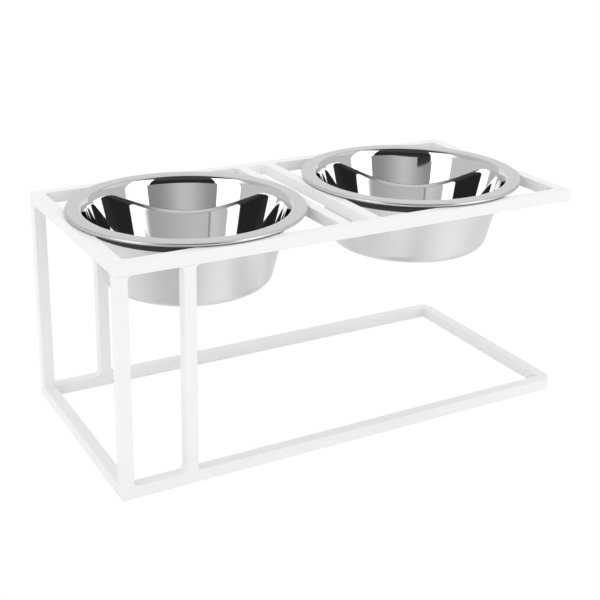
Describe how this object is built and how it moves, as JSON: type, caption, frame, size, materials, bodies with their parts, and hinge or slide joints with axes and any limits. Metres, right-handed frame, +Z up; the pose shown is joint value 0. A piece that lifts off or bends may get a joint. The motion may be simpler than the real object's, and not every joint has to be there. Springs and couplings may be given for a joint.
{
  "type": "dog feeder stand",
  "caption": "Raised pet feeder: white square-bar frame with posts at one end, a bent base and lift-out flanged steel bowls hanging in its top bays.",
  "frame": {"origin": "on the floor under the middle of the stand", "axes": "+X along the stand towards its open, overhanging end, +Y to the back, +Z up"},
  "size_m": [0.45, 0.215, 0.2066],
  "materials": {
    "powder_coat": "white powder coat on steel bar, low sheen",
    "steel": "stainless sheet, polished inside, satin outside",
    "rubber": "black rubber, dull"
  },
  "bodies": {
    "stand": {"top_front_rail": "powder_coat", "top_back_rail": "powder_coat", "top_left_rail": "powder_coat", "top_right_rail": "powder_coat", "left_cross_bar": "powder_coat", "right_cross_bar": "powder_coat", "front_left_post": "powder_coat", "back_left_post": "powder_coat", "front_inner_post": "powder_coat", "back_inner_post": "powder_coat", "base_bent_rail": "powder_coat", "base_left_rail": "powder_coat", "top_corner_welds": "powder_coat", "cross_bar_welds": "powder_coat", "post_head_welds": "powder_coat", "post_foot_welds": "powder_coat", "base_corner_welds": "powder_coat"},
    "left_bowl": {"left_bowl": "steel", "left_bowl_ring": "rubber"},
    "right_bowl": {"right_bowl": "steel", "right_bowl_ring": "rubber"}
  },
  "joints": [
    {"name": "left_bowl_lift", "type": "slide", "parent": "stand", "child": "left_bowl", "axis": [0, 0, 1], "range_m": [0, 0.12]},
    {"name": "right_bowl_lift", "type": "slide", "parent": "stand", "child": "right_bowl", "axis": [0, 0, 1], "range_m": [0, 0.12]}
  ]
}
